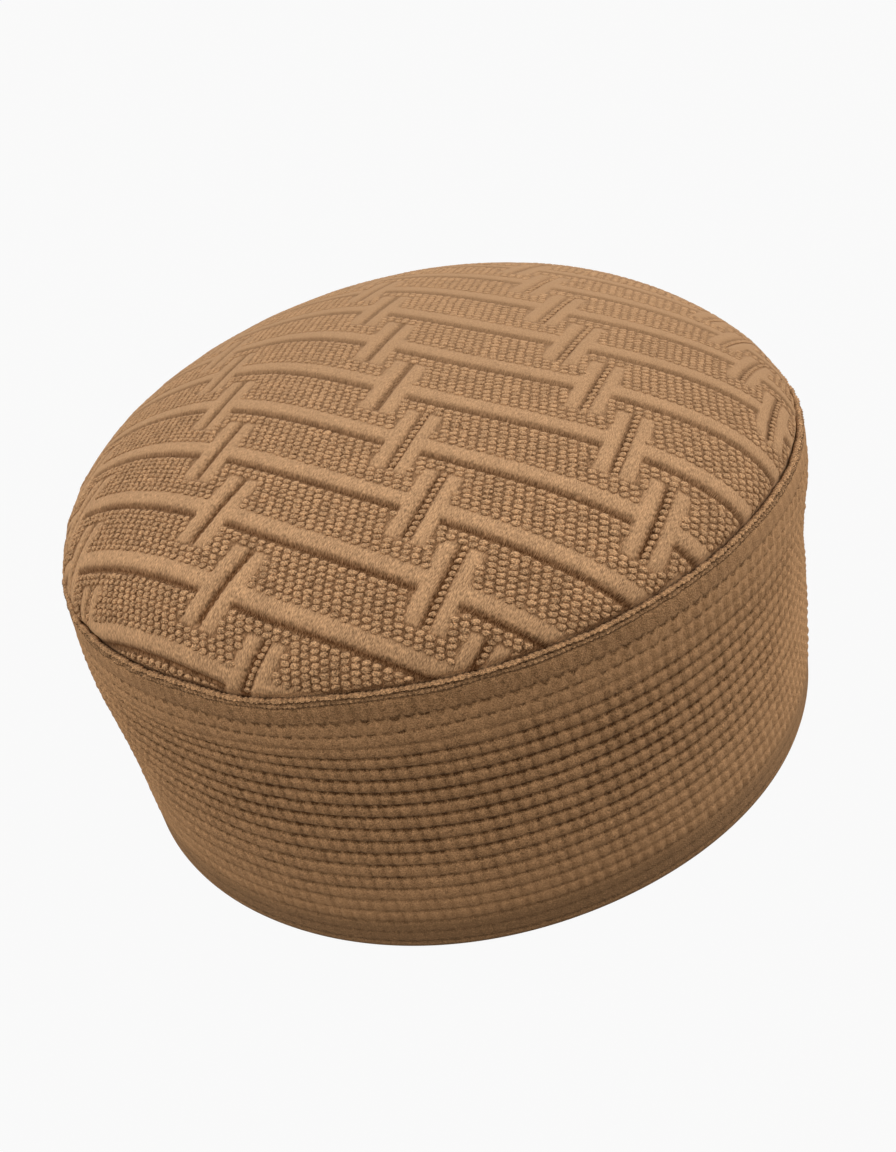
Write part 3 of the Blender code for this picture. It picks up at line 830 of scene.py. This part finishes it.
only(crown_cloth)
start_edit()
bpy.ops.mesh.select_mode(type="EDGE")
bpy.ops.mesh.select_all(action="SELECT")
bpy.ops.mesh.region_to_loop()
inside = CROWN_RADIUS - CROWN_WALL
set_ring(crown_cloth, CROWN_RADIUS, CROWN_FOOT)
set_ring(crown_cloth, inside, CROWN_FOOT)
set_ring(crown_cloth, inside, SEAM_HEIGHT)
for share in INNER_RINGS:
    set_ring(crown_cloth, inside * share, SEAM_HEIGHT + dome_height(share, CROWN_RISE - CROWN_WALL))
set_ring(crown_cloth, 0.0, SEAM_HEIGHT + CROWN_RISE - CROWN_WALL)
bpy.ops.mesh.merge(type="COLLAPSE")
end_edit()
close_up(crown_cloth)

inner_points = points_of(crown_cloth)[outer_count:]
paint(crown_cloth, "hollow", np.concatenate([dark, np.zeros(len(inner_points))]))
calm = calmness(points_of(crown_cloth))
paint(crown_cloth, "calm", calm)
# painted shade, darker to the back and right
paint(crown_cloth, "tint", BAR_FAR_SHADE * calm)
cloth_map(
    crown_cloth,
    np.concatenate([along, inner_points[:, 0]]) / MM,
    np.concatenate([across, inner_points[:, 1]]) / MM,
)
crown_cloth.data.materials.append(
    wool("crown yarn", CROWN_LIGHT, CROWN_DEEP, "cloth", BAR_FIBRES, CROWN_CONTRAST, CROWN_RAGGED)
)
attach(crown_cloth, "root")
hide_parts("crown")


# PURL STITCHES. Between the bars the same wool shows the back of its knitting, as rows of small round
# loops that lie along the rails, eight rows from one rail to the next, each row set a little along from
# the one behind it. The loops grow out of the cloth, so each is sunk a little into its face.
STITCH_PITCH = 2.12 * MM
ROWS_BETWEEN = 8
ROW_PITCH = 1.20 * MM
FIRST_ROW = 2.25 * MM  # from a rail's middle to the row behind it
ROW_SHIFT = 0.38 * MM
LOOP_SEGMENTS = 8  # faces round a loop, and rings of the ball that it is cut from
LOOP_RINGS = 6
LOOP_CUT = -0.1  # how low the ball is cut, as a share of its radius
LOOP_DENT_BACK = 0.15  # how far behind its middle the dent is, and its painted shade
LOOP_DENT_SHADE = 0.12
STITCH_SIZE = (1.04 * MM, 0.68 * MM, 0.62 * MM)  # half its length, half its width, and its height
STITCH_TURN = 0.28  # a loop's slant against its row
STITCH_BEND = 0.18  # how far its ends rise towards the back, as a share of its width
STITCH_DIMPLE = 0.16  # depth of the dent in a loop's middle, as a share of its height
STITCH_SINK = 0.06 * MM
STITCH_SEED = 11
POST_CLEAR = 0.1 * MM  # room between a post's side and the nearest loop's middle
POST_END_CLEAR = 0.3 * MM  # and at its end
SEAM_CLEAR = 0.1 * MM  # and at the seam
STITCH_STRAY = (0.07 * MM, 0.04 * MM)  # how far a loop strays, along and across
TURN_SPREAD = 0.12
SIZE_SPREAD = 0.05
TONE_SPREAD = 0.05
STITCH_FAR_SHADE = -0.08  # painted shade, as on the bars, for the loops
STITCH_FRONT_SHADE = 0.5  # painted shade: how much darker a loop's front is than its back
STITCH_ROUGH = 0.10  # how far a loop's strands swell out of its shape
STITCH_FUZZ = (3.2, 3.2, 1.0)
STITCH_CONTRAST = 2.8
STITCH_RAGGED = 2.0
STITCH_FUZZ_HEIGHT = 0.4 * MM
STITCH_LIGHT = (0.463, 0.279, 0.150, 1.0)
STITCH_DEEP = (0.15, 0.068, 0.027, 1.0)


def loop_shape():
    """One loop of yarn: the upper half of a ball, drawn out long and bent a little, with painted shade low
    on it, on its front and in its dent.
    """
    deselect()
    bpy.ops.mesh.primitive_uv_sphere_add(segments=LOOP_SEGMENTS, ring_count=LOOP_RINGS, radius=1.0)
    ball = bpy.context.object
    cut_away(ball, points_of(ball)[:, 2] < LOOP_CUT)
    points = points_of(ball)
    faces = [tuple(face.vertices) for face in ball.data.polygons]
    bpy.data.objects.remove(ball)
    middle = points[:, 2] > 0.95
    points[middle] += (0.0, LOOP_DENT_BACK, -STITCH_DIMPLE)
    hollow = (1.0 - np.clip(points[:, 2], 0.0, 1.0)) ** 2 * (1.0 - STITCH_FRONT_SHADE * points[:, 1])
    return points, faces, np.where(middle, LOOP_DENT_SHADE, np.clip(hollow, 0.0, 1.0))


LOOP_POINTS, LOOP_FACES, LOOP_SHADE = loop_shape()


def lay_loops(name, along, across, base, turn, size, tint):
    """One mesh of many loops, each turned and sized in the flat pattern and then laid on the dome."""
    x, y, z = LOOP_POINTS.T
    bent = y + STITCH_BEND * x ** 2
    rough = 1.0 + STITCH_ROUGH * np.random.default_rng(len(along)).normal(0.0, 1.0, (len(along), len(x)))
    long = size[:, 0, None] * x[None, :] * rough
    wide = size[:, 1, None] * bent[None, :] * rough
    place_along = along[:, None] + long * np.cos(turn)[:, None] - wide * np.sin(turn)[:, None]
    place_across = across[:, None] + long * np.sin(turn)[:, None] + wide * np.cos(turn)[:, None]
    shown = 1.0 - faintness(along, across)
    lift = base[:, None] + (size[:, 2] * shown)[:, None] * z[None, :] * rough - STITCH_SINK
    points = lay_on_dome(place_along.ravel(), place_across.ravel(), lift.ravel())
    count = len(LOOP_POINTS)
    faces = []
    for start in range(0, len(points), count):
        faces += [tuple(start + corner for corner in face) for face in LOOP_FACES]
    data = bpy.data.meshes.new(name)
    data.from_pydata(points.tolist(), [], faces)
    data.shade_smooth()
    piece = bpy.data.objects.new(name, data)
    bpy.context.scene.collection.objects.link(piece)
    # painted shade low on each loop, on its front and in its dent
    paint(piece, "hollow", np.tile(LOOP_SHADE, len(along)) * np.repeat(shown, count))
    calm = calmness(points)
    # each loop's own tone, with painted shade to the back and right
    paint(piece, "tint", np.repeat(tint, count) + STITCH_FAR_SHADE * calm)
    paint(piece, "calm", calm)
    cloth_map(piece, place_along.ravel() / MM, place_across.ravel() / MM)
    piece.data.materials.append(wool(
        name + " yarn", STITCH_LIGHT, STITCH_DEEP, "cloth", STITCH_FUZZ,
        STITCH_CONTRAST, STITCH_RAGGED, STITCH_FUZZ_HEIGHT,
    ))
    return piece


def stitch_places():
    """Places of all purl stitches in the flat pattern, clear of the bars."""
    found = []
    for rail in range(-CLOTH_RAILS // 2, CLOTH_RAILS // 2 + 1):
        for row in range(ROWS_BETWEEN):
            across = RAIL_START + rail * RAIL_SPACING + FIRST_ROW + ROW_PITCH * row
            shift = -ROW_SHIFT * (rail * ROWS_BETWEEN + row) % STITCH_PITCH
            line = np.arange(-half_across, half_across, STITCH_PITCH) + shift
            found.append(np.stack([line, np.full(line.shape, across)]))
    along, across = np.concatenate(found, axis=1)
    flat = np.hypot(*pulled(along, across))
    clear = flat < DISC_RADIUS - SEAM_CLEAR
    nearest = np.round((across - RAIL_START) / RAIL_SPACING)
    for step in (-1, 0, 1):
        side, offset, middle = pair_place(along, across, nearest + step)
        beside = np.abs(side) > PAIR_HALF + POST_CLEAR
        clear &= beside | (np.abs(offset) > POST_REACH + POST_END_CLEAR)
    return along[clear], across[clear]


draw = np.random.default_rng(STITCH_SEED)
along, across = stitch_places()
count = len(along)
along = along + draw.normal(0.0, STITCH_STRAY[0], count)
across = across + draw.normal(0.0, STITCH_STRAY[1], count)
turn = draw.normal(STITCH_TURN, TURN_SPREAD, count)
grown = draw.normal(1.0, SIZE_SPREAD, (count, 3))
size = grown * STITCH_SIZE
tint = draw.normal(0.0, TONE_SPREAD, count)
base = ground_height(across) * (1.0 - faintness(along, across))
for name, chosen in (("purl_front", across < RAIL_START), ("purl_back", across >= RAIL_START)):
    purl = lay_loops(
        name, along[chosen], across[chosen], base[chosen], turn[chosen], size[chosen], tint[chosen]
    )
    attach(purl, "root")


# GROOVE CHAINS. Where the groove between the two posts of a pair stands open, at the right and at the
# very front, a chain of slanted loops of the same wool shows in it, knitted into the cloth.
CHAIN_PITCH = 1.4 * MM
CHAIN_TURN = math.radians(40.0)
CHAIN_SIZE = (0.875 * MM, 0.6 * MM, 0.65 * MM)
CHAIN_RAISE = 0.2 * MM  # height of their middles over the ground
CHAIN_ASIDE = 0.4 * MM  # it lies nearer the right post
CHAIN_TURN_SPREAD = 0.1
CHAIN_SIZE_SPREAD = 0.06
CHAIN_PAIRS = range(-4, 5)  # pairs of posts along a rail, counted from its middle pair
CHAIN_SEED = 5


def chain_places():
    """Places of the loops of every chain."""
    steps = int(POST_REACH / CHAIN_PITCH)
    found = []
    for row in range(-CLOTH_RAILS // 2, CLOTH_RAILS // 2 + 1):
        rail = RAIL_START + row * RAIL_SPACING
        for column in CHAIN_PAIRS:
            middle = PAIR_START + row * PAIR_STEP + column * PAIR_SPACING
            if groove_opened(middle, rail) < 0.5:
                continue
            for step in range(-steps, steps + 1):
                offset = step * CHAIN_PITCH
                aside = CHAIN_ASIDE + float(post_slant(middle, rail)) * offset
                found.append((middle + aside, rail + offset))
    places = np.array(found)
    flat = np.hypot(*pulled(places[:, 0], places[:, 1]))
    return places[flat < DISC_RADIUS].T


draw = np.random.default_rng(CHAIN_SEED)
along, across = chain_places()
count = len(along)
turn = draw.normal(CHAIN_TURN, CHAIN_TURN_SPREAD, count)
grown = draw.normal(1.0, CHAIN_SIZE_SPREAD, (count, 3))
size = grown * CHAIN_SIZE
tint = draw.normal(0.0, TONE_SPREAD, count)
groove_chains = lay_loops("groove_chains", along, across, np.full(count, CHAIN_RAISE), turn, size, tint)
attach(groove_chains, "root")


# LIP. Band and crown are linked together by a round edge of tight stitches that stands up round the
# crown, with a row of smaller stitches under it. Both are felted, so that they show as soft lumps.
LIP_CORDS = (  # name, radius, half the thickness and height, top, stitches round, seed and tint
    ("seam_edge", 91.93 * MM, (0.66 * MM, 0.55 * MM), SEAM_HEIGHT, 440, 21, -0.08),
    # the foot cord's darker tint is painted shade under the edge cord
    ("seam_foot", 92.1 * MM, (0.55 * MM, 0.66 * MM), SEAM_HEIGHT - 1.1 * MM, 480, 26, -0.36),
)
LIP_STEPS = 1760  # points along a cord
LIP_POINTS = 8  # points round the cord
LIP_LUMP_DEPTH = 0.26
LIP_LUMP_SLANT = 0.7
LIP_FELTING = (90, 130)  # uneven swellings round the cap, and their share of a lump
LIP_FELTING_SHARE = 0.7
LIP_SQUASH = 1.05  # most that a lump grows in height
LIP_WANDER = 0.12 * MM  # how far the cord wanders in and out
LIP_WAVES = (12, 40)
LIP_UNDER = 0.35  # how far round from straight below its darkest painted shade lies
LIP_UNDER_SHADE = 0.65  # how much painted shade lies in the dashes under it, and in the spaces between its lumps
LIP_SPACE_SHADE = 0.14
LIP_CONTRAST = 2.8
LIP_LIGHT = (0.43, 0.252, 0.130, 1.0)
LIP_DEEP = (0.11, 0.048, 0.018, 1.0)


def cord_round(name, cord_radius, half, top, lumps, seed, tint):
    """A felted cord round the seam, lumpy with its stitches, with painted shade in the dashes on its
    underside and between its lumps.
    """
    cord, angle, row = sheet_round(name, LIP_STEPS, LIP_POINTS)
    around = FULL_TURN * row / LIP_POINTS
    twist = np.cos(angle * lumps + LIP_LUMP_SLANT * around)
    twist = twist + LIP_FELTING_SHARE * waves(angle, seed, *LIP_FELTING)
    grown = 1.0 + LIP_LUMP_DEPTH * twist
    wander = LIP_WANDER * waves(angle, seed + 1, *LIP_WAVES)
    level = cord_radius + half[0] * grown * np.cos(around) + wander
    height = top - half[1] + half[1] * np.minimum(grown, LIP_SQUASH) * np.sin(around)
    move_points(cord, settle(level, angle, height))
    under = np.clip(-np.sin(around + LIP_UNDER), 0.0, 1.0) ** 2
    dark = LIP_SPACE_SHADE * (1.0 - twist) + under * (LIP_UNDER_SHADE - LIP_UNDER_SHADE * twist)
    paint(cord, "hollow", np.clip(dark, 0.0, 1.0))
    paint(cord, "tint", np.full(angle.shape, tint))
    close_up(cord)
    return cord


seam_edge, seam_foot = (cord_round(*cord) for cord in LIP_CORDS)
lip_yarn = wool("lip yarn", LIP_LIGHT, LIP_DEEP, "Object", FUZZ, LIP_CONTRAST)
for piece in (seam_edge, seam_foot):
    piece.data.materials.append(lip_yarn)
    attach(piece, "root")
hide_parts("seam_lip")


# STUDIO. The cap stands on a plain pale floor in a room that is brightest overhead, with two large soft
# lamps, and the camera looks at it from the photograph's angle.
CAMERA_AIM = Vector((0.57, 0.0, 36.5)) * MM
CAMERA_AWAY = 355.8 * MM
CAMERA_RISE = 0.5943  # in radians, as its roll
CAMERA_ROLL = -0.2571
CAMERA_LENS = 41.246
SENSOR = 36.0
FLOOR_SIZE = 8.0
FLOOR_WHITE = (0.986, 0.986, 0.986, 1.0)
FLOOR_GLOW = 0.96  # how much of the floor that the camera sees is plain white
ROOM_WHITE = (0.95, 0.95, 0.95, 1.0)
FLOOR_GREY = (0.085, 0.08, 0.075, 1.0)  # what the floor sends back on the cap

away = Vector((0.0, -math.cos(CAMERA_RISE), math.sin(CAMERA_RISE)))
right = Vector((1.0, 0.0, 0.0))
up = away.cross(right)
rolled_right = right * math.cos(CAMERA_ROLL) + up * math.sin(CAMERA_ROLL)
rolled_up = up * math.cos(CAMERA_ROLL) - right * math.sin(CAMERA_ROLL)
view = bpy.data.cameras.new("camera")
view.lens = CAMERA_LENS
view.sensor_fit = "VERTICAL"
view.sensor_height = SENSOR
view.clip_start = 0.01
camera = bpy.data.objects.new("camera", view)
bpy.context.scene.collection.objects.link(camera)
camera.matrix_world = Matrix.Translation(CAMERA_AIM + away * CAMERA_AWAY) @ Matrix(
    (rolled_right, rolled_up, away)
).transposed().to_4x4()
bpy.context.scene.camera = camera


def show_mixed(tree, output, share, first, second):
    """Send a mixture of two shaders to an output node."""
    both = add_node(tree, "ShaderNodeMixShader", {0: share, 1: first.outputs[0], 2: second.outputs[0]})
    add_node(tree, output, {"Surface": both.outputs[0]})


deselect()
bpy.ops.mesh.primitive_plane_add(size=FLOOR_SIZE)
floor = bpy.context.object
floor.name = "floor"
floor_material = bpy.data.materials.new("floor")
floor_material.use_nodes = True
tree = floor_material.node_tree
tree.nodes.clear()
seen = tree.nodes.new("ShaderNodeLightPath").outputs["Is Camera Ray"]
plain = add_node(tree, "ShaderNodeBsdfDiffuse", {"Color": FLOOR_GREY})
bright = add_node(tree, "ShaderNodeEmission", {"Color": FLOOR_WHITE, "Strength": 1.0})
share = calculate(tree, "MULTIPLY", seen, FLOOR_GLOW)
show_mixed(tree, "ShaderNodeOutputMaterial", share, plain, bright)
floor.data.materials.append(floor_material)

BRIGHT_WAY = (0.0, 0.24, 0.97)
BRIGHT_SPAN = (-0.7, 0.9)  # from the darkest way to the brightest
ROOM_LEAST = 0.08
ROOM_LIGHT = 0.88
SIDE_LIGHT = 1.8  # how much brighter the room is at both sides
LAMPS = (  # large and soft, both pointed at the cap: name, place, size and power
    ("key", (-0.35, 0.75, 1.15), 0.7, 0.5),
    ("right side", (1.3, 0.1, 0.45), 0.8, 5.2),
)
WARM_FRONT = (1.0, 0.82, 0.60, 1.0)
PLAIN_BACK = (1.0, 0.985, 0.96, 1.0)
world = bpy.data.worlds.new("room")
bpy.context.scene.world = world
world.use_nodes = True
tree = world.node_tree
tree.nodes.clear()
way = tree.nodes.new("ShaderNodeTexCoord").outputs["Generated"]
facing = add_node(tree, "ShaderNodeVectorMath", {0: way, 1: BRIGHT_WAY}, operation="DOT_PRODUCT")
sideways = add_node(tree, "ShaderNodeSeparateXYZ", {0: way}).outputs["X"]
above = soft_step(tree, facing.outputs["Value"], *BRIGHT_SPAN)
level = calculate(tree, "MULTIPLY_ADD", above, ROOM_LIGHT, ROOM_LEAST)
level = calculate(tree, "MULTIPLY_ADD", calculate(tree, "MULTIPLY", sideways, sideways), SIDE_LIGHT, level)
tone = mix_colours(tree, above, WARM_FRONT, PLAIN_BACK)
lit = add_node(tree, "ShaderNodeBackground", {"Color": tone, "Strength": level})
plain = add_node(tree, "ShaderNodeBackground", {"Color": ROOM_WHITE, "Strength": 1.0})
seen = tree.nodes.new("ShaderNodeLightPath").outputs["Is Camera Ray"]
show_mixed(tree, "ShaderNodeOutputWorld", seen, lit, plain)

for name, place, size, power in LAMPS:
    lamp = bpy.data.lights.new(name, "AREA")
    lamp.size = size
    lamp.energy = power
    stand = bpy.data.objects.new(name, lamp)
    stand.location = place
    stand.rotation_euler = (Vector(place) - CAMERA_AIM).to_track_quat("Z", "Y").to_euler()
    bpy.context.scene.collection.objects.link(stand)

bpy.context.scene.view_settings.view_transform = "Standard"
